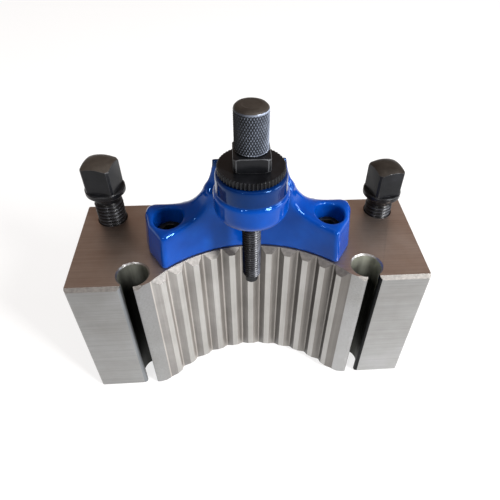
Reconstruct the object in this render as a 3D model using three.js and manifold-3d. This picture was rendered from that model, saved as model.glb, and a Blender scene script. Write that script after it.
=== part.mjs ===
// Quick change tool holder with a height-setting bracket.
// Millimetres, +Z up. The toothed recess faces -Y and the tool slot is in the back, facing +Y.
// The origin is under the middle of the whole assembly, on the surface it stands on.
import * as THREE from 'three';
import { mergeVertices } from 'three/addons/utils/BufferGeometryUtils.js';
import Module from 'manifold-3d';

const wasm = await Module();
wasm.setup();

// ---------------------------------------------------------------- clearances
const seatGap = 0.3; // between a piece and the face it is bolted to
const boreGap = 0.3; // radial, around every shank in its hole
const stackGap = 0.2; // between the turning pieces on the stud
const rearClearance = 0.4; // bracket to the middle clamp screw's head
const overCut = 1; // how far a cutter runs past the face it opens

// ---------------------------------------------------------------- holder body
const bodyLength = 120;
const bodyDepth = 43.5;
const bodyHeight = 58;
const bodyChamfer = 1.2; // long edges, front and back
const endChamfer = 0.6; // front vertical corners
const backCornerRadius = 2;

// Splined recess, which meshes with the post
const splineDivisions = 40;
const splineRootRadius = 43.4;
const recessDepth = 17.7; // deepest root behind the front face
const toothDepth = 2;
const toothCrestFlat = 2.1;
const toothRootFlat = 0.5;
const lastRootDepth = 1.8; // least depth behind the front face at which a root is still cut
const reliefRun = 1.6; // sideways run per mm of depth on the flat beside the last root

// Hook lips and keyhole slots
const lipLand = 1.6; // flat front face of the lip
const lipTipRadius = 0.8;
const throatNeck = 4; // narrowest width of the way in
const throatFrontRadius = 1.8;
const keyholeRadius = 5.1;
const keyholeOffset = 0.7; // bore axis outwards from the lip's tip
const keyholeDepth = 6.2;
const keyholeChamfer = 0.5;

// Tool slot
const slotHeight = 26;
const slotDepth = 16.5;
const lowerJaw = 15;

// ---------------------------------------------------------------- clamp screws
const clampThread = 10;
const clampEndInset = 10; // outer screws, from the ends of the body
const clampBackInset = 8; // all screws, from the back face
const clampThreadLength = 25;
const clampTipChamfer = 1;
const clampNeckDiameter = 8.2; // thread run-out under the head
const clampNeckLength = 2.5;
const clampHeadSquare = 10; // across flats
const clampHeadCorners = 13.2; // round bar that the square is milled on
const clampHeadHeight = 13.3;
const clampHeadBevel = 1.4;
const clampCollarDiameter = 13.8;
const clampCollarHeight = 2.8;
const clampCollarChamfer = 1;
const clampScrews = [
  { name: 'clamp_screw_left', side: -1, lift: 11.6, turn: -13 },
  { name: 'clamp_screw_middle', side: 0, lift: 9, turn: 30 },
  { name: 'clamp_screw_right', side: 1, lift: 7.4, turn: 14 },
];

// ---------------------------------------------------------------- height bracket
const bracketSetback = 0.2; // front wall, behind the spline root circle
const earHeight = 13.5;
const earScrewX = 26.8;
const earSideWall = 9.4; // ear screw axis to the ear's side
const earRearWall = 10.3; // ear screw axis to the bracket's rear
const earFrontRun = 1.8; // ear screw axis to the front corner
const earShoulderInset = 1.6;
const earShoulderDrop = 1.4;
const earCornerRadii = { front: 1.6, shoulder: 4, side: 5, rear: 5 };
const webExtraHalf = 1.5; // web behind the hub, wider than the hub by this on each side
const webTop = 36;
const webRearOffset = 12.4; // stud axis to the rear of the web at its top
const webTopRadius = 2;
const webSetback = 10.4; // stud axis to the front of the web, above the arms
const armFrontRise = 10.9; // the arms' front wall, from the ears up to the hub
const armRun = 14; // how far the fillet from the web runs out along each arm
const hubRadius = 11.2;
const hubBottom = 23.4;
const hubTop = 38;
const hubLowerRadius = 3.4;
const hubUpperRadius = 1.2;
const hubDraft = 0.4;
const bracketFlange = 3.5; // left under each screw head

// Bracket screws
const bracketThread = 5;
const bracketScrewLength = 14;
const bracketHeadDiameter = 8.5;
const bracketHeadHeight = 5;
const bracketHeadChamfer = 0.5;
const bracketSocket = 4; // across flats
const bracketSocketDepth = 2.5;
const bracketHoleDepth = 13;
const counterboreGap = 0.55; // radial, around the head

// ---------------------------------------------------------------- height-setting stack
const studThread = 6;
const studOffset = 9.7; // recess bottom to the stud axis
const studTip = -6.3; // below the top face
const studDogDiameter = 4.4;
const studDogLength = 2.8;
const studTipChamfer = 0.5;
const studTopInKnob = 9;

const discRadius = 9.75;
const discThickness = 2.2;
const discSerrations = 54;
const discSerrationDepth = 0.45;

const nutAcrossFlats = 10.4;
const nutCorners = 13.6; // across the rounded corners of the square nut
const nutThickness = 4.5;
const nutChamfer = 0.7;

const knobRadius = 4.8;
const knobHeight = 12.9;
const knobFoot = 0.4;
const knobShoulder = 1.3;
const knobTopRadius = 3.4;

// ---------------------------------------------------------------- derived places
const halfLength = bodyLength / 2;
const recessCentreY = recessDepth - splineRootRadius;
const clampX = halfLength - clampEndInset;
const clampY = bodyDepth - clampBackInset;
const studY = recessDepth - studOffset;
const bracketRearY = clampY - clampCollarDiameter / 2 - rearClearance;
const earScrewY = bracketRearY - earRearWall;
const frontMostY = Math.min(0, studY - hubRadius);
const groupY = -(frontMostY + bodyDepth) / 2;

// ---------------------------------------------------------------- helpers
function toSolid(geometry) {
  const bare = geometry.index ? geometry.toNonIndexed() : geometry.clone();
  bare.deleteAttribute('normal');
  bare.deleteAttribute('uv');
  const merged = mergeVertices(bare, 1e-5);
  const mesh = new wasm.Mesh({
    numProp: 3,
    vertProperties: new Float32Array(merged.attributes.position.array),
    triVerts: new Uint32Array(merged.index.array),
  });
  return new wasm.Manifold(mesh);
}

function toGeometry(solid) {
  const mesh = solid.getMesh();
  const geometry = new THREE.BufferGeometry();
  geometry.setAttribute('position', new THREE.BufferAttribute(new Float32Array(mesh.vertProperties), 3));
  geometry.setIndex(new THREE.BufferAttribute(new Uint32Array(mesh.triVerts), 1));
  const flat = geometry.toNonIndexed();
  flat.computeVertexNormals();
  return flat;
}

// Solid from a closed outline of [x, y] points, standing from z0 to z1.
function prism(points, z0, z1) {
  const shape = new THREE.Shape(points.map(([x, y]) => new THREE.Vector2(x, y)));
  const geometry = new THREE.ExtrudeGeometry(shape, { depth: z1 - z0, bevelEnabled: false });
  geometry.translate(0, 0, z0);
  return toSolid(geometry);
}

// Solid from an outline of [y, z] points, lying along X from x0 to x1.
function prismAlongX(points, x0, x1) {
  const solid = prism(points, x0, x1);
  return solid.transform([0, 1, 0, 0, 0, 0, 1, 0, 1, 0, 0, 0, 0, 0, 0, 1]);
}

// Solid from an outline of [x, z] points, lying along Y from y0 to y1.
function prismAlongY(points, y0, y1) {
  const mirrored = points.map(([x, z]) => [x, z]).reverse();
  const solid = prism(mirrored.map(([x, z]) => [z, x]), y0, y1);
  return solid.transform([0, 0, 1, 0, 1, 0, 0, 0, 0, 1, 0, 0, 0, 0, 0, 1]);
}

// Round solid about the Z axis from [radius, z] points that start and end on the axis.
function turned(profile, segments = 48) {
  const geometry = new THREE.LatheGeometry(profile.map(([r, z]) => new THREE.Vector2(r, z)), segments);
  geometry.rotateX(Math.PI / 2);
  return toSolid(geometry);
}

function cylinder(radius, z0, z1, segments = 48) {
  return turned([[0, z0], [radius, z0], [radius, z1], [0, z1]], segments);
}

function place(solid, x, y, z = 0) {
  return solid.translate([x, y, z]);
}

function polygonOutline(sides, acrossFlats) {
  const radius = acrossFlats / 2 / Math.cos(Math.PI / sides);
  return Array.from({ length: sides }, (_, i) => {
    const angle = (2 * Math.PI * i) / sides + Math.PI / sides;
    return [radius * Math.sin(angle), radius * Math.cos(angle)];
  }).reverse();
}

// Arc points about (cx, cy), angles in degrees from +X.
function arc(cx, cy, radius, from, to, steps) {
  return Array.from({ length: steps + 1 }, (_, i) => {
    const angle = THREE.MathUtils.degToRad(from + ((to - from) * i) / steps);
    return [cx + radius * Math.cos(angle), cy + radius * Math.sin(angle)];
  });
}

// Rounds the corner at p, between its neighbours a and b.
function roundedCorner(a, p, b, radius, steps = 5) {
  const corner = new THREE.Vector2(...p);
  const toA = new THREE.Vector2(...a).sub(corner).normalize();
  const toB = new THREE.Vector2(...b).sub(corner).normalize();
  const half = Math.acos(THREE.MathUtils.clamp(toA.dot(toB), -1, 1)) / 2;
  const reach = radius / Math.tan(half);
  const centre = toA.clone().add(toB).normalize().multiplyScalar(radius / Math.sin(half)).add(corner);
  const start = corner.clone().addScaledVector(toA, reach).sub(centre);
  const end = corner.clone().addScaledVector(toB, reach).sub(centre);
  let sweep = end.angle() - start.angle();
  if (sweep > Math.PI) sweep -= 2 * Math.PI;
  if (sweep < -Math.PI) sweep += 2 * Math.PI;
  return Array.from({ length: steps + 1 }, (_, i) => {
    const angle = start.angle() + (sweep * i) / steps;
    return [centre.x + radius * Math.cos(angle), centre.y + radius * Math.sin(angle)];
  });
}

function mirrored(points) {
  return points.map(([x, y]) => [-x, y]).reverse();
}

// Quarter-ellipse fillet from (run, 0) up to (0, rise), hollow side up.
function hollowFillet(run, rise, steps) {
  return Array.from({ length: steps + 1 }, (_, i) => {
    const angle = (Math.PI / 2) * (i / steps);
    return [run * (1 - Math.sin(angle)), rise * (1 - Math.cos(angle))];
  });
}

function material(color, roughness, metalness) {
  return new THREE.MeshStandardMaterial({ color, roughness, metalness });
}

function part(name, solid, look) {
  const mesh = new THREE.Mesh(toGeometry(solid), look);
  mesh.name = name;
  return mesh;
}

// ---------------------------------------------------------------- holder body
function recessPoint(radius, angle) {
  return [radius * Math.sin(angle), recessCentreY + radius * Math.cos(angle)];
}

// Right half of the splined recess, from the middle tooth outwards to the last root.
function splineHalf() {
  const pitch = (2 * Math.PI) / splineDivisions;
  const crestRadius = splineRootRadius - toothDepth;
  const crestHalf = toothCrestFlat / 2 / crestRadius;
  const rootHalf = toothRootFlat / 2 / splineRootRadius;
  const points = [];
  for (let tooth = 0; ; tooth += 1) {
    const crestAngle = tooth * pitch;
    const rootAngle = crestAngle + pitch / 2;
    if (recessPoint(splineRootRadius, rootAngle)[1] < lastRootDepth) break;
    if (tooth > 0) points.push(recessPoint(crestRadius, crestAngle - crestHalf));
    points.push(recessPoint(crestRadius, crestAngle + crestHalf));
    points.push(recessPoint(splineRootRadius, rootAngle - rootHalf));
    points.push(recessPoint(splineRootRadius, rootAngle + rootHalf));
  }
  return points;
}

const splineRight = splineHalf();
const lastRoot = splineRight[splineRight.length - 1];
const lipX = lastRoot[0] + lastRoot[1] * reliefRun;
const lipTipX = lipX + lipLand;
const throatOuterX = lipTipX + throatNeck;
const keyholeX = lipTipX + keyholeOffset;

// Angle, in degrees from +X, of the point where the front of the bore crosses x.
function boreAngleAt(x) {
  return -THREE.MathUtils.radToDeg(Math.acos((x - keyholeX) / keyholeRadius));
}

// Right half of the plan outline, from the middle of the recess round to the middle of the back.
function bodyHalfOutline() {
  const lipArc = arc(lipTipX - lipTipRadius, lipTipRadius, lipTipRadius, -90, 0, 4);
  const frontArc = arc(throatOuterX + throatFrontRadius, throatFrontRadius, throatFrontRadius, 180, 270, 6);
  const boreFrom = 360 + boreAngleAt(lipTipX);
  const boreTo = boreAngleAt(throatOuterX);
  return [
    ...splineRight,
    [lipX, 0],
    ...lipArc,
    ...arc(keyholeX, keyholeDepth, keyholeRadius, boreFrom, boreTo, 32),
    ...frontArc,
    [halfLength - endChamfer, 0],
    [halfLength, endChamfer],
    ...arc(halfLength - backCornerRadius, bodyDepth - backCornerRadius, backCornerRadius, 0, 90, 4),
  ];
}

function edgeCutter(y, z, legY, legZ) {
  const points = [[y, z], [y + legY, z], [y, z + legZ]];
  const ordered = legY * legZ > 0 ? points : points.reverse();
  return prismAlongX(ordered, -halfLength - overCut, halfLength + overCut);
}

function holderBody() {
  const right = bodyHalfOutline();
  const outline = [...mirrored(right), ...right];
  let solid = prism(outline, 0, bodyHeight);

  // Ends of the splines run out on a 45 degree cone at the top and the bottom face.
  const coneReach = toothDepth + overCut;
  const cone = turned([
    [0, -overCut],
    [splineRootRadius + overCut, -overCut],
    [splineRootRadius - coneReach, coneReach],
    [0, coneReach],
  ], 120);
  solid = solid.subtract(place(cone, 0, recessCentreY));
  solid = solid.subtract(place(cone.mirror([0, 0, 1]), 0, recessCentreY, bodyHeight));

  const reach = bodyChamfer + overCut;
  const cutters = [
    edgeCutter(-overCut, -overCut, reach + overCut, reach + overCut),
    edgeCutter(-overCut, bodyHeight + overCut, reach + overCut, -reach - overCut),
    edgeCutter(bodyDepth + overCut, -overCut, -reach - overCut, reach + overCut),
    edgeCutter(bodyDepth + overCut, bodyHeight + overCut, -reach - overCut, -reach - overCut),
  ];
  for (const cutter of cutters) {
    solid = solid.subtract(cutter);
  }

  const slotOutline = [
    [bodyDepth - slotDepth, lowerJaw],
    [bodyDepth + overCut, lowerJaw],
    [bodyDepth + overCut, lowerJaw + slotHeight],
    [bodyDepth - slotDepth, lowerJaw + slotHeight],
  ];
  solid = solid.subtract(prismAlongX(slotOutline, -halfLength - overCut, halfLength + overCut));

  const clampHole = cylinder(clampThread / 2 + boreGap, lowerJaw + slotHeight - overCut, bodyHeight + overCut);
  for (const { side } of clampScrews) {
    solid = solid.subtract(place(clampHole, side * clampX, clampY));
  }

  const bracketHole = cylinder(bracketThread / 2 + boreGap, bodyHeight - bracketHoleDepth, bodyHeight + overCut, 32);
  const mouth = turned([
    [0, bodyHeight - keyholeChamfer],
    [keyholeRadius, bodyHeight - keyholeChamfer],
    [keyholeRadius + keyholeChamfer + overCut, bodyHeight + overCut],
    [0, bodyHeight + overCut],
  ], 56);
  for (const side of [-1, 1]) {
    solid = solid.subtract(place(bracketHole, side * earScrewX, earScrewY));
    solid = solid.subtract(place(mouth, side * keyholeX, keyholeDepth));
  }
  return solid;
}

// ---------------------------------------------------------------- clamp screws
// Head bottom at z = 0, thread below it.
function clampScrew() {
  const threadRadius = clampThread / 2;
  const neckRadius = clampNeckDiameter / 2;
  const collarRadius = clampCollarDiameter / 2;
  const barRadius = clampHeadCorners / 2;
  const body = turned([
    [0, -clampThreadLength],
    [threadRadius - clampTipChamfer, -clampThreadLength],
    [threadRadius, -clampThreadLength + clampTipChamfer],
    [threadRadius, -clampNeckLength],
    [neckRadius, -clampNeckLength + threadRadius - neckRadius],
    [neckRadius, 0],
    [collarRadius - clampCollarChamfer, 0],
    [collarRadius, clampCollarChamfer],
    [collarRadius, clampCollarHeight],
    [0, clampCollarHeight],
  ]);
  const bar = turned([
    [0, clampCollarChamfer],
    [barRadius, clampCollarChamfer],
    [barRadius, clampHeadHeight - clampHeadBevel],
    [barRadius - 2 * clampHeadBevel, clampHeadHeight],
    [0, clampHeadHeight],
  ]);
  const square = prism(polygonOutline(4, clampHeadSquare), 0, clampHeadHeight + overCut);
  return body.add(bar.intersect(square));
}

// ---------------------------------------------------------------- height bracket
const bracketArcRadius = splineRootRadius + bracketSetback;

function bracketArcY(x) {
  return recessCentreY + Math.sqrt(bracketArcRadius ** 2 - x ** 2);
}

function bracketOutline() {
  const cornerX = earScrewX + earFrontRun;
  const sideX = earScrewX + earSideWall;
  const front = [cornerX, bracketArcY(cornerX)];
  const beforeFront = [cornerX - 1, bracketArcY(cornerX - 1)];
  const shoulder = [sideX - earShoulderInset, earScrewY - earShoulderDrop];
  const side = [sideX, earScrewY + earRearWall / 2];
  const rear = [sideX - 1, bracketRearY];
  const arcSteps = 14;
  const arcEnd = cornerX - 2 * earCornerRadii.front;
  const front_arc = Array.from({ length: arcSteps + 1 }, (_, i) => {
    const x = (arcEnd * i) / arcSteps;
    return [x, bracketArcY(x)];
  });
  const right = [
    ...front_arc.slice(1),
    ...roundedCorner(beforeFront, front, shoulder, earCornerRadii.front),
    ...roundedCorner(front, shoulder, side, earCornerRadii.shoulder),
    side,
    ...roundedCorner(side, rear, [0, bracketRearY], earCornerRadii.rear),
  ];
  return [...mirrored(right), front_arc[0], ...right];
}

// Seen from the front: level ears, then a hollow fillet up to a flat top with rounded ends.
function bracketFrontProfile(top, topRadius) {
  const webHalf = hubRadius + webExtraHalf;
  const fillet = hollowFillet(armRun, top - topRadius - earHeight, 12);
  const edge = earScrewX + earSideWall + overCut;
  const right = [
    [edge, seatGap],
    [edge, earHeight],
    ...fillet.map(([dx, dz]) => [webHalf + dx, earHeight + dz]),
    ...arc(webHalf - topRadius, top - topRadius, topRadius, 0, 90, 4).slice(1),
  ];
  return [...right, ...mirrored(right)];
}

// Seen from the side: the rear leans in above the ears.
function bracketSideProfile() {
  const webRearY = studY + webRearOffset;
  const fillet = hollowFillet(bracketRearY - webRearY, webTop + overCut - earHeight, 12);
  return [
    [frontMostY - overCut, seatGap - overCut],
    [bracketRearY + overCut, seatGap - overCut],
    [bracketRearY + overCut, earHeight - overCut],
    [bracketRearY, earHeight - overCut],
    ...fillet.map(([dy, dz]) => [webRearY + dy, earHeight + dz]),
    [frontMostY - overCut, webTop + overCut],
  ];
}

function heightBracket() {
  const wall = prism(bracketOutline(), seatGap - overCut, webTop + overCut);
  const arms = prismAlongY(bracketFrontProfile(earHeight + armFrontRise, overCut), frontMostY - overCut, bodyDepth);
  const web = prismAlongY(bracketFrontProfile(webTop, webTopRadius), studY + webSetback, bodyDepth);
  const edge = earScrewX + earSideWall + overCut;
  const sideView = prismAlongX(bracketSideProfile(), -edge, edge);
  const casting = wall.intersect(arms.add(web)).intersect(sideView);

  const hub = turned([
    [0, hubBottom],
    ...arc(hubRadius - hubLowerRadius, hubBottom + hubLowerRadius, hubLowerRadius, -90, 0, 6),
    ...arc(hubRadius - hubDraft - hubUpperRadius, hubTop - hubUpperRadius, hubUpperRadius, 0, 90, 4),
    [0, hubTop],
  ], 64);
  let solid = casting.add(place(hub, 0, studY));

  const studHole = cylinder(studThread / 2 + boreGap, hubBottom - overCut, hubTop + overCut, 40);
  solid = solid.subtract(place(studHole, 0, studY));

  const screwHole = cylinder(bracketThread / 2 + boreGap, seatGap - overCut, bracketFlange + seatGap + overCut, 32);
  const headRadius = bracketHeadDiameter / 2 + counterboreGap;
  const counterbore = cylinder(headRadius, seatGap + bracketFlange, earHeight + overCut, 40);
  for (const side of [-1, 1]) {
    solid = solid.subtract(place(screwHole, side * earScrewX, earScrewY));
    solid = solid.subtract(place(counterbore, side * earScrewX, earScrewY));
  }
  return solid;
}

// Head bottom at z = 0, thread below it.
function bracketScrew() {
  const threadRadius = bracketThread / 2;
  const headRadius = bracketHeadDiameter / 2;
  const solid = turned([
    [0, -bracketScrewLength],
    [threadRadius - bracketHeadChamfer, -bracketScrewLength],
    [threadRadius, -bracketScrewLength + bracketHeadChamfer],
    [threadRadius, 0],
    [headRadius, 0],
    [headRadius, bracketHeadHeight - bracketHeadChamfer],
    [headRadius - bracketHeadChamfer, bracketHeadHeight],
    [0, bracketHeadHeight],
  ], 40);
  const socketFloor = bracketHeadHeight - bracketSocketDepth;
  return solid.subtract(prism(polygonOutline(6, bracketSocket), socketFloor, bracketHeadHeight + overCut));
}

// ---------------------------------------------------------------- height-setting stack
const discZ = hubTop + stackGap;
const nutZ = discZ + discThickness + stackGap;
const knobZ = nutZ + nutThickness + stackGap;
const studTop = knobZ + studTopInKnob;
const runningHole = studThread / 2 + boreGap;

function serratedNut() {
  const points = [];
  for (let i = 0; i < discSerrations * 2; i += 1) {
    const angle = (Math.PI * i) / discSerrations;
    const radius = i % 2 === 0 ? discRadius : discRadius - discSerrationDepth;
    points.push([radius * Math.cos(angle), radius * Math.sin(angle)]);
  }
  return prism(points, discZ, discZ + discThickness).subtract(
    cylinder(runningHole, discZ - overCut, discZ + discThickness + overCut, 40),
  );
}

function lockNut() {
  const corner = nutCorners / 2;
  const blank = turned([
    [0, nutZ],
    [corner - nutChamfer, nutZ],
    [corner, nutZ + nutChamfer / 2],
    [corner, nutZ + nutThickness - nutChamfer / 2],
    [corner - nutChamfer, nutZ + nutThickness],
    [0, nutZ + nutThickness],
  ]);
  const square = prism(polygonOutline(4, nutAcrossFlats), nutZ - overCut, nutZ + nutThickness + overCut);
  const hole = cylinder(runningHole, nutZ - overCut, nutZ + nutThickness + overCut, 40);
  return blank.intersect(square).subtract(hole);
}

function knurledKnob() {
  const top = knobZ + knobHeight;
  const outside = turned([
    [0, knobZ],
    [knobRadius - knobFoot, knobZ],
    [knobRadius, knobZ + knobFoot],
    [knobRadius, top - knobShoulder],
    [(knobRadius + knobTopRadius) / 2 + knobFoot / 2, top - knobShoulder / 3],
    [knobTopRadius, top],
    [0, top],
  ]);
  return outside.subtract(cylinder(runningHole, knobZ - overCut, studTop + stackGap, 40));
}

function adjustingStud() {
  const radius = studThread / 2;
  const dog = studDogDiameter / 2;
  return turned([
    [0, studTip],
    [dog - studTipChamfer, studTip],
    [dog, studTip + studTipChamfer],
    [dog, studTip + studDogLength],
    [radius, studTip + studDogLength + radius - dog],
    [radius, studTop - studTipChamfer],
    [radius - studTipChamfer, studTop],
    [0, studTop],
  ]);
}

// ---------------------------------------------------------------- assembly
const steel = material(0x9a9590, 0.42, 1);
const blue = material(0x0d49b4, 0.25, 0);
const blackOxide = [0x26272a, 0.42, 0.85];

const assembly = new THREE.Group();
assembly.add(part('holder_body', holderBody(), steel));
assembly.add(part('height_bracket', place(heightBracket(), 0, 0, bodyHeight), blue));

for (const [name, side] of [['bracket_screw_left', -1], ['bracket_screw_right', 1]]) {
  const mesh = part(name, bracketScrew(), material(...blackOxide));
  mesh.position.set(side * earScrewX, earScrewY, bodyHeight + seatGap + bracketFlange + seatGap);
  assembly.add(mesh);
}

for (const { name, side, lift, turn } of clampScrews) {
  const mesh = part(name, clampScrew(), material(...blackOxide));
  mesh.position.set(side * clampX, clampY, bodyHeight + lift);
  mesh.rotation.z = THREE.MathUtils.degToRad(turn);
  assembly.add(mesh);
}

const stack = [
  ['serrated_nut', serratedNut()],
  ['lock_nut', lockNut()],
  ['knurled_knob', knurledKnob()],
  ['adjusting_stud', adjustingStud()],
];
for (const [name, solid] of stack) {
  const mesh = part(name, solid, material(...blackOxide));
  mesh.position.set(0, studY, bodyHeight);
  assembly.add(mesh);
}

const toolHolder = new THREE.Group();
assembly.position.y = groupY;
toolHolder.add(assembly);

export default toolHolder;
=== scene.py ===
"""Looks of a quick change tool holder: ground steel block, blue enamelled bracket, black oxide screws."""
import bpy
import bmesh
import math
import numpy as np
from mathutils import Matrix, Vector


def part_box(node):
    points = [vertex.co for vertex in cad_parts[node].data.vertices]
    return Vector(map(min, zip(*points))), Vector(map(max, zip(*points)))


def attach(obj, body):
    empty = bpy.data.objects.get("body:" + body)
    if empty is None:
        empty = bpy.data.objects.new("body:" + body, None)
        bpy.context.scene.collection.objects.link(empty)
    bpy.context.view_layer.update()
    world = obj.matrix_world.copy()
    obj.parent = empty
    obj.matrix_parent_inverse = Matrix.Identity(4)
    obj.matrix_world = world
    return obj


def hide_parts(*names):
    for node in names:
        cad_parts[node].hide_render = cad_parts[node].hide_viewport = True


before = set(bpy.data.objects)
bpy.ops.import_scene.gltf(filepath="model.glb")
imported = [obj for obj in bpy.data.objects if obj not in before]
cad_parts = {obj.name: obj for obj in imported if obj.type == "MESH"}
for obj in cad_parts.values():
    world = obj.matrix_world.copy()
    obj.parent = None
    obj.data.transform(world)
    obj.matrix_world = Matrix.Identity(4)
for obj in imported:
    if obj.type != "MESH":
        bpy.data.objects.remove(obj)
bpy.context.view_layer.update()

MM = 0.001
X, Y, Z = 0, 1, 2
MATH, VECTOR_MATH, MAP = "ShaderNodeMath", "ShaderNodeVectorMath", "ShaderNodeMapRange"
NOISE, RAMP, MIX, BUMP = "ShaderNodeTexNoise", "ShaderNodeValToRGB", "ShaderNodeMix", "ShaderNodeBump"
MULTIPLIED = {"data_type": "RGBA", "blend_type": "MULTIPLY"}  # its colours are inputs 6 and 7 and output 2
POINT_FLOAT = {"data_type": "FLOAT", "domain": "POINT"}
FLOAT, INTEGER, MATERIAL = "NodeSocketFloat", "NodeSocketInt", "NodeSocketMaterial"

# Sizes of the real pieces, in millimetres.
CLAMP_THREAD = {"radius": 5.0, "depth": 0.75, "pitch": 1.5, "chamfer": 1.0}
CLAMP_NECK = {"radius": 4.1, "length": 2.5, "overlap": 0.6}
CLAMP_HEAD = {"square": 10.0, "corners": 13.2, "height": 13.3, "foot": 1.0, "crown": 0.12, "edge": 0.24}
CLAMP_HEAD_TOP = [(0.0, 1.9), (0.25, 1.4), (2.8, 0.25), (4.0, 0.0)]  # in from the corners, below the top
CLAMP_COLLAR = {"diameter": 13.8, "height": 2.8, "chamfer": 1.0}
CLAMP_COLLAR_TOP = [(0.0, 0.3), (0.35, 0.0)]
CLAMP_TURN = {"clamp_screw_left": -13.0, "clamp_screw_middle": 30.0, "clamp_screw_right": 14.0}  # degrees
CAP_EDGE, NUT_EDGE, BLOCK_EDGE = 0.22, 0.2, 0.16
STUD_THREAD = {"radius": 3.0, "depth": 0.42, "pitch": 1.0, "chamfer": 0.6}
STUD_DOG = {"radius": 2.2, "length": 2.8, "chamfer": 0.5, "overlap": 0.5}
KNOB = {"bore": 3.3, "bore_depth": 8.5, "foot": 0.4, "foot_chamfer": 0.45, "plain_top": 1.3, "rubbed": 1.5,
        "dish": 0.15}
KNOB_DOME = [(0.03, 1.35), (0.2, 0.85), (0.6, 0.42), (1.25, 0.12), (2.0, 0.0), (2.6, 0.1)]
KNURL = {"around": 36, "height": 1.5, "depth": 0.36, "fade": 0.12}
DISC = {"bore": 3.3, "bore_chamfer": 0.3, "rim": 0.9, "chamfer": 0.25}
SERRATION = {"teeth": 54, "depth": 0.5}
SPLINE = {"root_radius": 43.4, "recess_depth": 17.7, "tooth_depth": 2.0}
KEYHOLE = {"lip": 36.5, "tip": 38.2, "far": 44.6, "x": 39.3, "y": 6.2, "radius": 5.1}
BLOCK_CHAMFER = 1.3
BRACKET = {
    "ear_height": 13.5, "ear_x": 26.8, "ear_back": 10.3, "side": 36.1, "side_lean": 0.10, "corner": 28.6,
    "shoulder": (34.5, 15.6), "rear_corner": [(0.0, 7.0), (0.4, 2.6), (3.0, 0.0)], "setback": 0.2,
    "web_half": 13.4, "web_top": 36.9, "web_front": 18.2, "web_rear": 20.6, "arm_run": 14.0, "arm_rise": 11.2,
    "hub_radius": 11.2, "hub_bottom": 23.4, "hub_top": 38.0, "hub_crease": 32.4, "counterbore": 4.8,
    "flange": 3.8, "screw_hole": 2.8, "stud_hole": 3.3, "seat": 0.05,
}
HUB = {"foot_round": 3.4, "lip_round": 1.0, "neck_in": 0.75, "neck_up": 0.4, "rim_in": 1.5, "rim_round": 0.7}
# Widths of the casting's fillets and rounded edges.
BLEND = {"recess": 1.8, "web_front": 5.0, "web_to_arms": 3.0, "outline": 2.2, "back": 3.0, "hub": 4.0,
         "stud_hole": 0.5, "counterbore": 1.2, "seat": 0.9}
BEYOND, BELOW = 45.0, -5.0  # outlines that run out of the casting end here
HALF_GRID, GRID_MARGIN, FULL_STEP, QUICK_STEP = 39.0, 1.5, 0.42, 0.8

# Where a crest ends and a root begins, in parts of a cell (a tooth, a diamond or a turn) from its middle.
THREAD_FORM, KNURL_FORM, SERRATION_FORM = (0.07, 0.43), (0.1, 0.5), (0.12, 0.42)
STEPS_PER_CELL = 8
ROUND, THREAD_SEGMENTS = 96, 48  # mesh columns round a turned head, and round a thread
ON_AXIS = 1e-6
SQUARE_CORNERS = ((-1, -1), (1, -1), (1, 1), (-1, 1))

# Which way a face looks, by its normal: walls have less z than WALL, and level faces have more than ROOF.
WALL, ROOF, LOOKS_UP, FACES_LEFT = 0.2, 0.9, 0.45, -0.3

# Places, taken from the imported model.
body_low, body_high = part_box("holder_body")
stud_low, stud_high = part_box("adjusting_stud")
TOP = body_high.z / MM
FRONT = body_low.y / MM
STUD_X = (stud_low.x + stud_high.x) / 2 / MM
STUD_Y = (stud_low.y + stud_high.y) / 2 / MM
SPLINE_CENTRE = FRONT + SPLINE["recess_depth"] - SPLINE["root_radius"]


# ---------------------------------------------------------------- nodes and colours
def linear(hex_colour):
    """Linear RGBA from an sRGB hex value."""
    channels = [int(hex_colour[i:i + 2], 16) / 255 for i in (1, 3, 5)]
    return [c / 12.92 if c <= 0.04045 else ((c + 0.055) / 1.055) ** 2.4 for c in channels] + [1.0]


def add(tree, kind, inputs=None, stops=(), **settings):
    """Adds a node, sets its settings, and links or sets each input, keyed by its name or number.
    stops are a colour ramp's (position, hex) pairs."""
    made = tree.nodes.new(kind)
    for key, value in settings.items():
        setattr(made, key, value)
    for key, value in (inputs or {}).items():
        if isinstance(value, bpy.types.Node):
            value = value.outputs[0]
        if isinstance(value, bpy.types.NodeSocket):
            tree.links.new(value, made.inputs[key])
        else:
            made.inputs[key].default_value = value
    while stops and len(made.color_ramp.elements) < len(stops):
        made.color_ramp.elements.new(0.5)
    for i, (position, colour) in enumerate(stops):
        made.color_ramp.elements[i].position = position
        made.color_ramp.elements[i].color = linear(colour)
    return made


def new_material(name):
    """A material with its tree, its shader and the object's own coordinates."""
    material = bpy.data.materials.new(name)
    material.use_nodes = True
    tree = material.node_tree
    shader = next(n for n in tree.nodes if n.type == "BSDF_PRINCIPLED")
    return material, tree, shader, add(tree, "ShaderNodeTexCoord").outputs["Object"]


def cell(size):
    """Texture scale for a pattern whose cells are size mm wide."""
    return 1 / (size * MM)


def faded(tree, colour, place, fades):
    """Darkens or lightens a colour along the object, mostly to paint light and shade that change along it.
    Each fade is (axis, start in mm, end in mm, (share at the start, share at the end))."""
    for axis, start, end, (first, last) in fades:
        part = add(tree, "ShaderNodeSeparateXYZ", {0: place}).outputs[axis]
        share = add(tree, MAP, {0: part, 1: start * MM, 2: end * MM, 3: first, 4: last})
        colour = add(tree, MIX, {0: 1.0, 6: colour, 7: share}, **MULTIPLIED).outputs[2]
    return colour


def dress(tree, shader, colour, rough, bump, levels):
    """Links what varies over the surface and sets the levels that are the same all over."""
    tree.links.new(colour, shader.inputs["Base Color"])
    tree.links.new(rough.outputs[0], shader.inputs["Roughness"])
    tree.links.new(bump.outputs[0], shader.inputs["Normal"])
    for label, level in levels.items():
        shader.inputs[label].default_value = level


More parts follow.
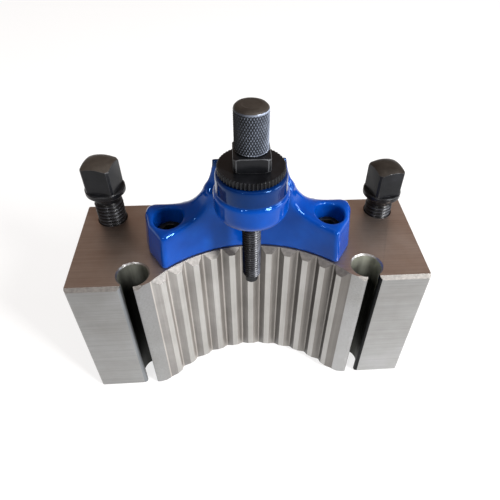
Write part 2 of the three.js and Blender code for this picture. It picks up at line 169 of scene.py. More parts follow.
# ---------------------------------------------------------------- materials
def machined_steel(name, tints, lay, dull, fades):
    """Machined tool steel. tints are three hex colours for the uneven tarnish, in clouds about 20 mm wide.
    lay is the size in mm of one tool line along each axis, long where the tool ran: real lines are a few
    hundredths apart, so they are drawn ten or more times as coarse to show. dull is the roughness in and
    between the lines."""
    material, tree, shader, place = new_material(name)
    lined = add(tree, "ShaderNodeMapping", {"Vector": place, "Scale": [cell(size) for size in lay]})
    lines = add(tree, NOISE, {"Vector": lined, "Scale": 1.0, "Detail": 3.0, "Roughness": 0.6})
    cloud = add(tree, NOISE, {"Vector": place, "Scale": cell(20), "Detail": 4.0, "Roughness": 0.6})
    tint = add(tree, RAMP, {0: cloud}, list(zip((0.3, 0.5, 0.7), tints)))
    streak = add(tree, RAMP, {0: lines}, [(0.3, "#c4c4c4"), (0.7, "#ffffff")])
    colour = add(tree, MIX, {0: 0.4, 6: tint, 7: streak}, **MULTIPLIED).outputs[2]
    rough = add(tree, MAP, {0: lines, 1: 0.25, 2: 0.75, 3: dull[0], 4: dull[1]})
    bump = add(tree, BUMP, {"Height": lines, "Strength": 0.25, "Distance": 0.03 * MM})
    dress(tree, shader, faded(tree, colour, place, fades), rough, bump, {"Metallic": 1.0})
    return material


def rubbed_edge():
    """Broken edges, rubbed by hand and in use: dull and finely mottled, about 1 mm from spot to spot."""
    material, tree, shader, place = new_material("rubbed_steel_edge")
    spots = add(tree, NOISE, {"Vector": place, "Scale": cell(1), "Detail": 3.0})
    colour = add(tree, RAMP, {0: spots}, [(0.35, "#73716e"), (0.65, "#85827f")])
    tree.links.new(colour.outputs[0], shader.inputs["Base Color"])
    shader.inputs["Metallic"].default_value = 1.0
    shader.inputs["Roughness"].default_value = 0.6
    return material


def blue_enamel():
    """Gloss enamel brushed on a casting. To the eye it is a deep wet blue, with uneven cover in patches 10 mm
    wide, soft waves 8 mm wide from the rough casting, orange peel 2 mm wide, and a darker band on the hub
    above the crease: painted shade under the nut."""
    material, tree, shader, place = new_material("gloss_blue_enamel")
    cloud = add(tree, NOISE, {"Vector": place, "Scale": cell(10), "Detail": 3.0})
    coat = add(tree, RAMP, {0: cloud}, [(0.3, "#02307c"), (0.6, "#033b8e"), (0.8, "#06479f")])
    crease = TOP + BRACKET["hub_crease"]
    # Painted shade: above the crease the hub's blue is darkened to three tenths, under the nut.
    colour = faded(tree, coat, place, [(Z, crease - 0.4, crease + 0.6, (1.0, 0.3))])
    peel = add(tree, NOISE, {"Vector": place, "Scale": cell(2), "Detail": 2.0, "Roughness": 0.4})
    waves = add(tree, NOISE, {"Vector": place, "Scale": cell(8), "Detail": 1.0})
    bump = add(tree, BUMP, {"Height": peel, "Strength": 0.25, "Distance": 0.1 * MM})
    bump = add(tree, BUMP, {"Height": waves, "Strength": 0.35, "Distance": 0.5 * MM, "Normal": bump})
    rough = add(tree, MAP, {0: cloud, 1: 0.3, 2: 0.7, 3: 0.07, 4: 0.11})
    dress(tree, shader, colour, rough, bump, {"IOR": 1.45, "Specular Tint": linear("#84bcff")})
    return material


def black_oxide(name, tints, dull, shine, fades=(), grooved=False):
    """Hot-blackened steel, oiled: near black, uneven in spots 4 mm wide, with an etched grain. The real grain
    is finer than 0.1 mm and is drawn 0.5 mm wide to show. dull is the roughness, shine the specular level.
    With grooved set, shade is painted into the bottoms of grooves and light onto the crests."""
    material, tree, shader, place = new_material(name)
    cloud = add(tree, NOISE, {"Vector": place, "Scale": cell(4), "Detail": 5.0, "Roughness": 0.65})
    colour = add(tree, RAMP, {0: cloud}, list(zip((0.3, 0.55, 0.8), tints))).outputs[0]
    colour = faded(tree, colour, place, fades)
    if grooved:
        # Painted light and shade: crests lightened half again, groove bottoms darkened.
        groove = add(tree, "ShaderNodeAttribute", attribute_name="groove").outputs["Fac"]
        share = add(tree, MAP, {0: groove, 1: 0.0, 2: 0.8, 3: 1.5, 4: 0.1})
        colour = add(tree, MIX, {0: 1.0, 6: colour, 7: share}, **MULTIPLIED).outputs[2]
    grain = add(tree, NOISE, {"Vector": place, "Scale": cell(0.5), "Detail": 2.0})
    rough = add(tree, MAP, {0: cloud, 1: 0.3, 2: 0.7, 3: dull[0], 4: dull[1]})
    bump = add(tree, BUMP, {"Height": grain, "Strength": 0.2, "Distance": 0.04 * MM})
    dress(tree, shader, colour, rough, bump, {"Specular IOR Level": shine, "Metallic": 0.25})
    return material


GROUND = (40, 0.4, 0.4)  # the wheel ran along the block
BROACH = (0.625, 0.625, 40)  # the broach ran up through the recess
BORE = (1, 1, 20)  # the drill and end mill fed down

# Ground front and sides: bright grey with long faint lines, lighter towards the right end as painted light
# from the right, and lighter towards the foot.
STEEL = machined_steel("ground_steel_bright", ("#92918f", "#9a9a99", "#a2a2a3"), GROUND, (0.34, 0.42),
                       [(X, -60, 60, (1.0, 1.34)), (Z, 8, 58, (1.05, 0.82))])
# Ground top: a copy of the steel with a warm brown cast over the same lines, a painted reflection of the
# brown room, and lighter towards the right end as painted light from the right.
STEEL_TOP = machined_steel("ground_steel_tarnished", ("#a8968b", "#b0a299", "#bbb0a9"), GROUND, (0.36, 0.44),
                           [(X, -60, 60, (1.06, 1.34))])
# Tooth crests: a lighter copy of the steel, painted light that makes them the brightest strips in the recess,
# and darker towards the right end as painted shade.
CREST = machined_steel("ground_steel_crests", ("#bcbab6", "#c6c4c0", "#d0cecb"), BROACH, (0.34, 0.46),
                       [(X, -30, 40, (1.0, 0.66))])
# Tooth roots and the flanks that face right: satin, darker towards the right end as painted shade, the
# left-hand teeth lit from the right.
ROOT = machined_steel("broached_steel_roots", ("#a8a39d", "#b2ada8", "#bcb8b3"), BROACH, (0.4, 0.52),
                      [(X, -30, 35, (1.3, 0.42))])
# Flanks that face left: a darker copy of the steel, painted shade where they turn from the light, lightest at
# the left end.
SHADED_FLANK = machined_steel("broached_steel_oily_flanks", ("#605e5c", "#6a6866", "#767472"), BROACH, (0.4, 0.52),
                      [(X, -30, 35, (2.6, 0.45))])
# Keyhole bores: greenish grey at the mouth and near black further down, painted shade deep in the bore as
# well as oil, and lighter towards the right end as painted light.
BORED = machined_steel("bored_steel_oily", ("#96988c", "#a6a89c", "#b2b4a9"), BORE, (0.42, 0.6),
                       [(Z, 46, 58, (0.08, 1.3)), (X, -40, 40, (0.55, 1.35))])
# Milled ways into the keyholes: light on the left, nearly black on the right as painted shade.
THROAT = machined_steel("milled_steel_throat", ("#84878a", "#909396", "#9c9fa2"), BORE, (0.42, 0.6),
                        [(X, -40, 40, (1.0, 0.06))])
EDGE = rubbed_edge()
ENAMEL = blue_enamel()

# Untouched oxide: satin black.
OXIDE = black_oxide("black_oxide_steel", ("#0d0e10", "#141518", "#1d1e22"), (0.26, 0.42), 0.25)
# Edges of the black: fine grey outlines, lighter than the oxide, as painted highlights along the corners.
EDGE_GLINT = black_oxide("black_oxide_worn_edges", ("#2b2c2f", "#434548", "#626467"), (0.28, 0.4), 0.4)
# Knurl: grey diamonds between black grooves, with painted light on the crests, painted shade in the grooves,
# and much lighter on the right as painted light from the right.
OXIDE_KNURL = black_oxide("black_oxide_knurl_handled", ("#31353d", "#434851", "#565c67"), (0.26, 0.38), 0.26,
                          [(X, -4.5, 4.2, (0.05, 3.0))], grooved=True)
# Clamp threads: dark, with painted light on the crests and painted shade in the roots.
OXIDE_THREAD = black_oxide("black_oxide_thread", ("#151619", "#202125", "#2e3034"), (0.25, 0.38), 0.25,
                           grooved=True)
# Height stud's thread: the same painted light on the crests and shade in the roots, and much lighter on the
# right as painted light from the right.
OXIDE_STUD = black_oxide("black_oxide_stud_thread", ("#1c1d20", "#2a2b2f", "#3a3c41"), (0.22, 0.34), 0.25,
                         [(X, -2.5, 2.8, (0.1, 2.6))], grooved=True)
# Faces that look up: a lit copy of the black, dull brown black, painted light from above with a painted
# reflection of the brown room, lighter on the left.
OXIDE_TOP = black_oxide("black_oxide_rubbed_brown", ("#221e1b", "#2b2723", "#35302b"), (0.4, 0.55), 0.25,
                        [(X, -52, 50, (1.9, 1.0))])


# ---------------------------------------------------------------- mesh helpers
def mesh_object(name, points, faces):
    """An object of its own from points in metres and faces."""
    mesh = bpy.data.meshes.new(name)
    mesh.from_pydata([tuple(p) for p in points], [], [tuple(f) for f in faces])
    mesh.update()
    obj = bpy.data.objects.new(name, mesh)
    bpy.context.scene.collection.objects.link(obj)
    return obj


def applied(obj):
    """Turns the object's modifiers into plain mesh."""
    graph = bpy.context.evaluated_depsgraph_get()
    mesh = bpy.data.meshes.new_from_object(obj.evaluated_get(graph))
    obj.modifiers.clear()
    old = obj.data
    obj.data = mesh
    bpy.data.meshes.remove(old)
    return obj


def shade(obj, degrees):
    """Smooth faces, with sharp edges where the surface turns by more than the angle."""
    obj.data.shade_smooth()
    obj.data.set_sharp_from_angle(angle=math.radians(degrees))


def solid_copy(node, name):
    """The CAD node's shape as clean flat faces instead of loose triangles."""
    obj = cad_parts[node].copy()
    obj.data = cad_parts[node].data.copy()
    obj.name = name
    obj.parent = None
    obj.matrix_world = Matrix.Identity(4)
    for key in list(obj.keys()):
        del obj[key]
    bpy.context.scene.collection.objects.link(obj)
    work = bmesh.new()
    work.from_mesh(obj.data)
    bmesh.ops.remove_doubles(work, verts=work.verts, dist=0.002 * MM)
    bmesh.ops.dissolve_limit(work, angle_limit=math.radians(0.6), verts=work.verts, edges=work.edges)
    work.to_mesh(obj.data)
    work.free()
    obj.data.materials.clear()
    return obj


def soften(obj, width, angle, segments=2, edge_slot=-1):
    """Rounds edges that turn by more than the angle, width in mm. New faces get the edge slot's material."""
    bevel = obj.modifiers.new("soften", "BEVEL")
    bevel.width = width * MM
    bevel.segments = segments
    bevel.limit_method = "ANGLE"
    bevel.angle_limit = math.radians(angle)
    bevel.material = edge_slot
    bevel.miter_outer = "MITER_ARC"
    return applied(obj)


def turned(name, profile, segments, step=None):
    """Closed round solid about Z from (radius, z) points in mm; long spans are divided into steps."""
    rings = [profile[0]]
    for (r0, z0), (r1, z1) in zip(profile, profile[1:]):
        span = math.hypot(r1 - r0, z1 - z0)
        count = max(1, round(span / step)) if step else 1
        rings += [(r0 + (r1 - r0) * i / count, z0 + (z1 - z0) * i / count) for i in range(1, count + 1)]
    points, faces, starts = [], [], []
    for radius, z in rings:
        starts.append(len(points))
        for i in range(1 if radius < ON_AXIS else segments):
            angle = 2 * math.pi * i / segments
            points.append((radius * math.cos(angle) * MM, radius * math.sin(angle) * MM, z * MM))
    for k in range(len(rings) - 1):
        for i in range(segments):
            j = (i + 1) % segments
            a, b = starts[k] + i, starts[k] + j
            c, d = starts[k + 1] + j, starts[k + 1] + i
            if rings[k][0] < ON_AXIS:
                faces.append((starts[k], c, d))
            elif rings[k + 1][0] < ON_AXIS:
                faces.append((a, b, starts[k + 1]))
            else:
                faces.append((a, b, c, d))
    return mesh_object(name, points, faces)


def closed_turned(name, profile, segments):
    """As turned, for a ring: the profile is a closed loop that stays off the axis."""
    obj = turned(name, list(profile) + [profile[0]], segments)
    work = bmesh.new()
    work.from_mesh(obj.data)
    bmesh.ops.remove_doubles(work, verts=work.verts, dist=0.001 * MM)
    work.to_mesh(obj.data)
    work.free()
    return obj


def inset(rim, top, steps):
    """Profile points from steps in mm, each (in from the rim, below the top)."""
    return [(rim - inward, top - down) for inward, down in steps]


def moved(obj, x, y, z, turn=0.0):
    """Places the mesh itself, in mm and degrees, so that the object stays at the origin."""
    place = Matrix.Translation((x * MM, y * MM, z * MM))
    obj.data.transform(place @ Matrix.Rotation(math.radians(turn), 4, "Z"))
    obj.data.update()
    return obj


def joined(name, parts):
    """One mesh from several closed ones."""
    work = bmesh.new()
    for part in parts:
        work.from_mesh(part.data)
    mesh = bpy.data.meshes.new(name)
    work.to_mesh(mesh)
    work.free()
    for part in parts:
        bpy.data.objects.remove(part)
    obj = bpy.data.objects.new(name, mesh)
    bpy.context.scene.collection.objects.link(obj)
    return obj


def boolean(obj, other, operation):
    """Combines two closed meshes and removes the second."""
    cut = obj.modifiers.new("cut", "BOOLEAN")
    cut.object = other
    cut.operation = operation
    cut.solver = "EXACT"
    applied(obj)
    bpy.data.objects.remove(other)
    return obj


def face_slots(obj):
    """The material slot of each face."""
    return [face.material_index for face in obj.data.polygons]


def painted_lit_tops(obj, above):
    """Gives faces of the first slot the last one, where they look up and lie above a height in mm: the lit
    copy of the black, painted light on the tops.
    """
    last = len(obj.data.materials) - 1
    for face in obj.data.polygons:
        if face.material_index == 0 and face.normal.z > LOOKS_UP and face.center.z > above * MM:
            face.material_index = last


def finish_piece(obj, nodes, body, slot, *materials, slots=None):
    """Gives the piece its materials, the first one all over unless slots has a slot for each face, and ties
    it to the model."""
    obj.data.materials.clear()
    for material in materials:
        obj.data.materials.append(material)
    if slots:
        obj.data.polygons.foreach_set("material_index", slots)
    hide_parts(*nodes)
    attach(obj, body)
    return obj


# ---------------------------------------------------------------- geometry node trees
def new_tree(name, sizes, geometry_in):
    """A node tree with named inputs. sizes maps each name to (socket kind, default)."""
    tree = bpy.data.node_groups.new(name, "GeometryNodeTree")
    if geometry_in:
        tree.interface.new_socket("Geometry", in_out="INPUT", socket_type="NodeSocketGeometry")
    for label, (kind, value) in sizes.items():
        socket = tree.interface.new_socket(label, in_out="INPUT", socket_type=kind)
        if value is not None:
            socket.default_value = value
    tree.interface.new_socket("Geometry", in_out="OUTPUT", socket_type="NodeSocketGeometry")
    return tree, add(tree, "NodeGroupInput").outputs


def close_tree(tree, geometry, material):
    """Ends a tree in Realize Instances and Set Material."""
    real = add(tree, "GeometryNodeRealizeInstances", {0: geometry})
    painted = add(tree, "GeometryNodeSetMaterial", {"Geometry": real, "Material": material})
    add(tree, "NodeGroupOutput", {0: painted})
    return tree


def grown(obj, tree, **values):
    """Runs the tree on the object and keeps the result as plain mesh."""
    modifier = obj.modifiers.new(tree.name, "NODES")
    modifier.node_group = tree
    for item in tree.interface.items_tree:
        key = item.name.lower().replace(" ", "_")
        if item.item_type == "SOCKET" and item.in_out == "INPUT" and key in values:
            modifier[item.identifier] = values[key]
    obj.update_tag()
    bpy.context.view_layer.update()
    return applied(obj)


def grooves(tree, count, form):
    """V grooves, one at every whole count: 0 on the crests, 1 in the roots."""
    phase = add(tree, MATH, {0: count, 1: 1.0, 2: 0.0}, operation="WRAP")
    off = add(tree, MATH, {0: phase, 1: 0.5}, operation="SUBTRACT")
    off = add(tree, MATH, {0: off}, operation="ABSOLUTE")
    return add(tree, MAP, {0: off, 1: form[0], 2: form[1], 3: 0.0, 4: 1.0})


def about_axis(tree, cells):
    """Each point's coordinates, its place round Z counted in cells, and its arm out from Z."""
    where = add(tree, "ShaderNodeSeparateXYZ", {0: add(tree, "GeometryNodeInputPosition")}).outputs
    angle = add(tree, MATH, {0: where[Y], 1: where[X]}, operation="ARCTAN2")
    lap = add(tree, MATH, {0: angle, 1: 2 * math.pi}, operation="DIVIDE")
    count = add(tree, MATH, {0: lap, 1: cells}, operation="MULTIPLY")
    return where, count, add(tree, "ShaderNodeCombineXYZ", {0: where[X], 1: where[Y], 2: 0.0})


def pushed_in(tree, geometry, arm, depth):
    """Moves each point towards Z by its depth."""
    outward = add(tree, VECTOR_MATH, {0: arm}, operation="NORMALIZE")
    inward = add(tree, MATH, {0: depth, 1: -1.0}, operation="MULTIPLY")
    offset = add(tree, VECTOR_MATH, {0: outward, "Scale": inward}, operation="SCALE")
    return add(tree, "GeometryNodeSetPosition", {"Geometry": geometry, "Offset": offset})


def thread_tree():
    """A closed threaded rod standing on z = 0. Its rows follow the helix, so crests and roots stay sharp."""
    tree, given = new_tree("screw_thread", {
        "Thread Radius": (FLOAT, CLAMP_THREAD["radius"] * MM),
        "Thread Depth": (FLOAT, CLAMP_THREAD["depth"] * MM),
        "Pitch": (FLOAT, CLAMP_THREAD["pitch"] * MM), "Length": (FLOAT, 20 * MM),
        "End Chamfer": (FLOAT, CLAMP_THREAD["chamfer"] * MM), "Segments": (INTEGER, THREAD_SEGMENTS),
        "Rows Per Turn": (INTEGER, STEPS_PER_CELL), "Finish": (MATERIAL, None)}, False)
    turns = add(tree, MATH, {0: given["Length"], 1: given["Pitch"]}, operation="DIVIDE")
    turns = add(tree, MATH, {0: turns}, operation="CEIL")
    turns = add(tree, MATH, {0: turns, 1: 2.0}, operation="ADD")
    rows = add(tree, MATH, {0: turns, 1: given["Rows Per Turn"]}, operation="MULTIPLY")
    grid = add(tree, "GeometryNodeMeshGrid", {
        "Size X": 1.0, "Size Y": 1.0,
        "Vertices X": add(tree, MATH, {0: given["Segments"], 1: 1.0}, operation="ADD"),
        "Vertices Y": add(tree, MATH, {0: rows, 1: 1.0}, operation="ADD")})

    # The grid's width becomes one lap, and its height becomes the climb.
    where = add(tree, "ShaderNodeSeparateXYZ", {0: add(tree, "GeometryNodeInputPosition")}).outputs
    across = add(tree, MATH, {0: where[X], 1: 0.5}, operation="ADD")
    along = add(tree, MATH, {0: where[Y], 1: 0.5}, operation="ADD")
    angle = add(tree, MATH, {0: across, 1: 2 * math.pi}, operation="MULTIPLY")
    turn = add(tree, MATH, {0: along, 1: turns}, operation="MULTIPLY")
    climb = add(tree, MATH, {0: turn, 1: across}, operation="ADD")
    climb = add(tree, MATH, {0: climb, 1: 1.0}, operation="SUBTRACT")
    height = add(tree, MATH, {0: climb, 1: given["Pitch"]}, operation="MULTIPLY")
    height = add(tree, MATH, {0: height, 1: 0.0}, operation="MAXIMUM")
    height = add(tree, MATH, {0: height, 1: given["Length"]}, operation="MINIMUM")

    # Radius from the groove, held inside the chamfer of each end.
    shaped = grooves(tree, turn, THREAD_FORM)
    dip = add(tree, MATH, {0: shaped, 1: given["Thread Depth"]}, operation="MULTIPLY")
    radius = add(tree, MATH, {0: given["Thread Radius"], 1: dip}, operation="SUBTRACT")
    start = add(tree, MATH, {0: given["Thread Radius"], 1: given["End Chamfer"]}, operation="SUBTRACT")
    rest = add(tree, MATH, {0: given["Length"], 1: height}, operation="SUBTRACT")
    for room in (height, rest):
        limit = add(tree, MATH, {0: start, 1: room}, operation="ADD")
        radius = add(tree, MATH, {0: radius, 1: limit}, operation="MINIMUM")

    # The first and last rows close on the axis.
    margin = add(tree, MATH, {0: 0.5, 1: rows}, operation="DIVIDE")
    end = add(tree, MATH, {0: 1.0, 1: margin}, operation="SUBTRACT")
    for limit, test in ((margin, "GREATER_THAN"), (end, "LESS_THAN")):
        inside = add(tree, MATH, {0: along, 1: limit}, operation=test)
        radius = add(tree, MATH, {0: radius, 1: inside}, operation="MULTIPLY")
    cosine = add(tree, MATH, {0: angle}, operation="COSINE")
    sine = add(tree, MATH, {0: angle}, operation="SINE")
    east = add(tree, MATH, {0: radius, 1: cosine}, operation="MULTIPLY")
    north = add(tree, MATH, {0: radius, 1: sine}, operation="MULTIPLY")
    place = add(tree, "ShaderNodeCombineXYZ", {0: east, 1: north, 2: height})
    marked = add(tree, "GeometryNodeStoreNamedAttribute",
                 {"Geometry": grid, "Name": "groove", "Value": shaped}, **POINT_FLOAT)
    bent = add(tree, "GeometryNodeSetPosition", {"Geometry": marked, "Position": place})
    whole = add(tree, "GeometryNodeMergeByDistance", {"Geometry": bent, "Distance": 0.001 * MM})
    return close_tree(tree, whole, given["Finish"])


def knurl_tree():
    """Diamond knurl pressed into a round surface about Z: two sets of crossing grooves, faded at the ends."""
    tree, given = new_tree("diamond_knurl", {
        "Diamonds Around": (FLOAT, KNURL["around"]), "Diamond Height": (FLOAT, KNURL["height"] * MM),
        "Groove Depth": (FLOAT, KNURL["depth"] * MM), "Lower End": (FLOAT, 0.0),
        "Upper End": (FLOAT, 10 * MM), "End Fade": (FLOAT, KNURL["fade"] * MM),
        "Finish": (MATERIAL, None)}, True)
    where, column, arm = about_axis(tree, given["Diamonds Around"])
    rise = add(tree, MATH, {0: where[Z], 1: given["Lower End"]}, operation="SUBTRACT")
    row = add(tree, MATH, {0: rise, 1: given["Diamond Height"]}, operation="DIVIDE")
    leaning = [add(tree, MATH, {0: column, 1: row}, operation=way) for way in ("ADD", "SUBTRACT")]
    pair = [grooves(tree, count, KNURL_FORM) for count in leaning]
    groove = add(tree, MATH, {0: pair[0], 1: pair[1]}, operation="MAXIMUM")
    room = add(tree, MATH, {0: given["Upper End"], 1: where[Z]}, operation="SUBTRACT")
    ends = [add(tree, MATH, {0: gap, 1: given["End Fade"]}, operation="DIVIDE", use_clamp=True)
            for gap in (rise, room)]
    share = add(tree, MATH, {0: ends[0], 1: ends[1]}, operation="MULTIPLY")
    depth = add(tree, MATH, {0: groove, 1: given["Groove Depth"]}, operation="MULTIPLY")
    depth = add(tree, MATH, {0: depth, 1: share}, operation="MULTIPLY")
    shown = add(tree, MATH, {0: groove, 1: share}, operation="MULTIPLY")
    marked = add(tree, "GeometryNodeStoreNamedAttribute",
                 {"Geometry": given["Geometry"], "Name": "groove", "Value": shown}, **POINT_FLOAT)
    return close_tree(tree, pushed_in(tree, marked, arm, depth), given["Finish"])


def serration_tree():
    """Straight V serrations down the rim of a disc about Z, running out at their own depth below the rim."""
    tree, given = new_tree("rim_serrations", {
        "Teeth": (FLOAT, SERRATION["teeth"]), "Tooth Depth": (FLOAT, SERRATION["depth"] * MM),
        "Rim Radius": (FLOAT, 10 * MM), "Finish": (MATERIAL, None)}, True)
    _, column, arm = about_axis(tree, given["Teeth"])
    radius = add(tree, VECTOR_MATH, {0: arm}, operation="LENGTH").outputs["Value"]
    core = add(tree, MATH, {0: given["Rim Radius"], 1: given["Tooth Depth"]}, operation="SUBTRACT")
    reach = add(tree, MATH, {0: radius, 1: core}, operation="SUBTRACT")
    share = add(tree, MATH, {0: reach, 1: given["Tooth Depth"]}, operation="DIVIDE", use_clamp=True)
    shaped = grooves(tree, column, SERRATION_FORM)
    depth = add(tree, MATH, {0: shaped, 1: given["Tooth Depth"]}, operation="MULTIPLY")
    depth = add(tree, MATH, {0: depth, 1: share}, operation="MULTIPLY")
    return close_tree(tree, pushed_in(tree, given["Geometry"], arm, depth), given["Finish"])


THREAD = thread_tree()
KNURLING = knurl_tree()
SERRATIONS = serration_tree()


def threaded_rod(name, size, length):
    """A rod standing on z = 0, sizes in mm."""
    return grown(mesh_object(name, [], []), THREAD, thread_radius=size["radius"] * MM,
                 thread_depth=size["depth"] * MM, pitch=size["pitch"] * MM, length=length * MM,
                 end_chamfer=size["chamfer"] * MM, segments=THREAD_SEGMENTS, rows_per_turn=STEPS_PER_CELL,
                 finish=OXIDE)


# ---------------------------------------------------------------- holder body
# The crest, root, shaded flank, bore, throat and top finishes are lit and shaded copies of the steel: painted
# light and shade.
BLOCK_FINISHES = {"side": STEEL, "edge": EDGE, "top": STEEL_TOP, "root": ROOT, "bore": BORED, "crest": CREST,
                  "shaded flank": SHADED_FLANK, "throat": THROAT}


def block_finish(face):
    """Which of the block's finishes a face has, from its place and the way it looks. Allowances are in mm."""
    x, y, z = face.center / MM
    normal = face.normal
    upright = abs(normal.z) < WALL
    off_x = abs(x)
    deep = y - FRONT
    root = SPLINE["root_radius"]
    crest = root - SPLINE["tooth_depth"]
    radius = math.hypot(x, y - SPLINE_CENTRE)
    if normal.z > ROOF and z > TOP - 0.1:
        return "top"
    if WALL < normal.z < ROOF and deep < BLOCK_CHAMFER and abs(normal.x) < WALL:
        return "edge"
    if WALL < abs(normal.z) < ROOF and off_x < KEYHOLE["lip"] and radius < root + 0.3:
        return "edge"
    if upright and off_x < KEYHOLE["lip"] and crest - 0.4 < radius < root + 0.1:
        to_right = (normal.x * (y - SPLINE_CENTRE) - normal.y * x) / radius
        if radius < crest + 0.3:
            return "crest"
        # Flanks that face left take the darker copy of the steel: painted shade.
        return "shaded flank" if to_right < FACES_LEFT else "root"
    if upright and math.hypot(off_x - KEYHOLE["x"], deep - KEYHOLE["y"]) < KEYHOLE["radius"] + 0.2:
        return "bore"
    if upright and KEYHOLE["tip"] < off_x < KEYHOLE["far"] and 0.2 < deep < KEYHOLE["y"]:
        return "throat"
    return "side"


def holder_body():
    """The block, with the finish of every face and fine broken edges."""
    obj = solid_copy("holder_body", "holder_block")
    names = list(BLOCK_FINISHES)
    for material in BLOCK_FINISHES.values():
        obj.data.materials.append(material)
    slots = [names.index(block_finish(face)) for face in obj.data.polygons]
    obj.data.polygons.foreach_set("material_index", slots)
    soften(obj, BLOCK_EDGE, angle=30.0, segments=1, edge_slot=names.index("edge"))
    shade(obj, degrees=14.0)
    return finish_piece(obj, ["holder_body"], "holder", "ground_steel", *BLOCK_FINISHES.values(),
                        slots=face_slots(obj))


# ---------------------------------------------------------------- height bracket, as a distance field
def polygon_distance(points, u, v):
    """Signed distance in mm from (u, v) to a closed outline, negative inside."""
    best = np.full(u.shape, 1e9)
    inside = np.zeros(u.shape, bool)
    for (x0, y0), (x1, y1) in zip(points, points[1:] + points[:1]):
        ex, ey = x1 - x0, y1 - y0
        t = np.clip(((u - x0) * ex + (v - y0) * ey) / (ex * ex + ey * ey + 1e-12), 0, 1)
        best = np.minimum(best, np.hypot(u - x0 - t * ex, v - y0 - t * ey))
        if y0 != y1:
            crosses = (y0 > v) != (y1 > v)
            inside ^= crosses & (u < (x1 - x0) * (v - y0) / (y1 - y0) + x0)
    return np.where(inside, -best, best)


def smooth_min(a, b, k):
    """Joins two fields with a fillet about k mm wide."""
    h = np.maximum(k - np.abs(a - b), 0) / k
    return np.minimum(a, b) - h * h * k / 4


def smooth_max(a, b, k):
    """Keeps what two fields share, with a rounded edge about k mm wide."""
    return -smooth_min(-a, -b, k)


def surface_net(name, field, origin, step):
    """Closed quad mesh where the field crosses zero, sizes in mm."""
    inside = field < 0
    shape = np.array(field.shape)
    total = np.zeros(tuple(shape - 1) + (3,))
    count = np.zeros(tuple(shape - 1))
    quads = []
    for axis in (X, Y, Z):
        low = [slice(None)] * 3
        high = [slice(None)] * 3
        low[axis], high[axis] = slice(0, -1), slice(1, None)
        low, high = tuple(low), tuple(high)
        index = np.argwhere(inside[low] != inside[high])
        a = field[low][tuple(index.T)]
        b = field[high][tuple(index.T)]
        point = index.astype(float)
        point[:, axis] += a / (a - b)
        side = [k for k in (X, Y, Z) if k != axis]
        keep = np.all((index[:, side] > 0) & (index[:, side] < shape[side] - 1), axis=1)
        index, point, flip = index[keep], point[keep], inside[low][tuple(index[keep].T)]
        ring = []
        for d0, d1 in ((-1, -1), (0, -1), (0, 0), (-1, 0)):
            corner = index.copy()
            corner[:, side[0]] += d0
            corner[:, side[1]] += d1
            np.add.at(total, tuple(corner.T), point)
            np.add.at(count, tuple(corner.T), 1)
            ring.append(corner)
        quads.append((np.stack(ring, 1), flip if axis != Y else ~flip))
    used = count > 0
    number = np.full(count.shape, -1)
    number[used] = np.arange(used.sum())
    points = (total[used] / count[used][:, None]) * step + np.array(origin)
    faces = []
    for ring, flip in quads:
        ids = number[ring[..., 0], ring[..., 1], ring[..., 2]]
        ids[~flip] = ids[~flip][:, ::-1]
        faces.append(ids)
    return mesh_object(name, points * MM, np.concatenate(faces).tolist())


def arc_points(cx, cy, radius, start, end, steps):
    """Points on an arc, angles in degrees."""
    angles = [math.radians(start + (end - start) * i / steps) for i in range(steps + 1)]
    return [(cx + radius * math.cos(a), cy + radius * math.sin(a)) for a in angles]


def hollow(start, run, low, rise, steps):
    """Points on a quarter of an ellipse that leaves start + run level and ends upright at start."""
    return [(start + run * (1 - math.sin(a)), low + rise * (1 - math.cos(a)))
            for a in np.linspace(0, math.pi / 2, steps)]


def arm_outline(floor_z, top, top_radius):
    """Seen from the front: level ears, hollow fillets up to a flat top with rounded ends."""
    half = BRACKET["web_half"]
    fillet = hollow(half, BRACKET["arm_run"], floor_z, top - top_radius - floor_z, 16)
    crown = arc_points(half - top_radius, top - top_radius, top_radius, 0, 90, 5)
    right = [(BEYOND, BELOW), (BEYOND, floor_z)] + fillet + crown[1:]
    return right + [(-x, z) for x, z in right[::-1]]


def hub_outline():
    """Half section of the hub: round foot, crease under the nut, slightly narrower collar."""
    keys = ("hub_radius", "hub_bottom", "hub_top", "hub_crease")
    radius, bottom, top, crease = (BRACKET[key] for key in keys)
    foot, lip, rim = HUB["foot_round"], HUB["lip_round"], HUB["rim_round"]
    half = [(0, bottom)] + arc_points(radius - foot, bottom + foot, foot, -90, 0, 6)
    half += arc_points(radius - lip, crease - lip, lip, 0, 80, 5)
    half += [(radius - HUB["neck_in"], crease + HUB["neck_up"])]
    half += arc_points(radius - HUB["rim_in"], top - rim, rim, 0, 90, 4) + [(0, top)]
    return [(-p, q) for p, q in half[:0:-1]] + half


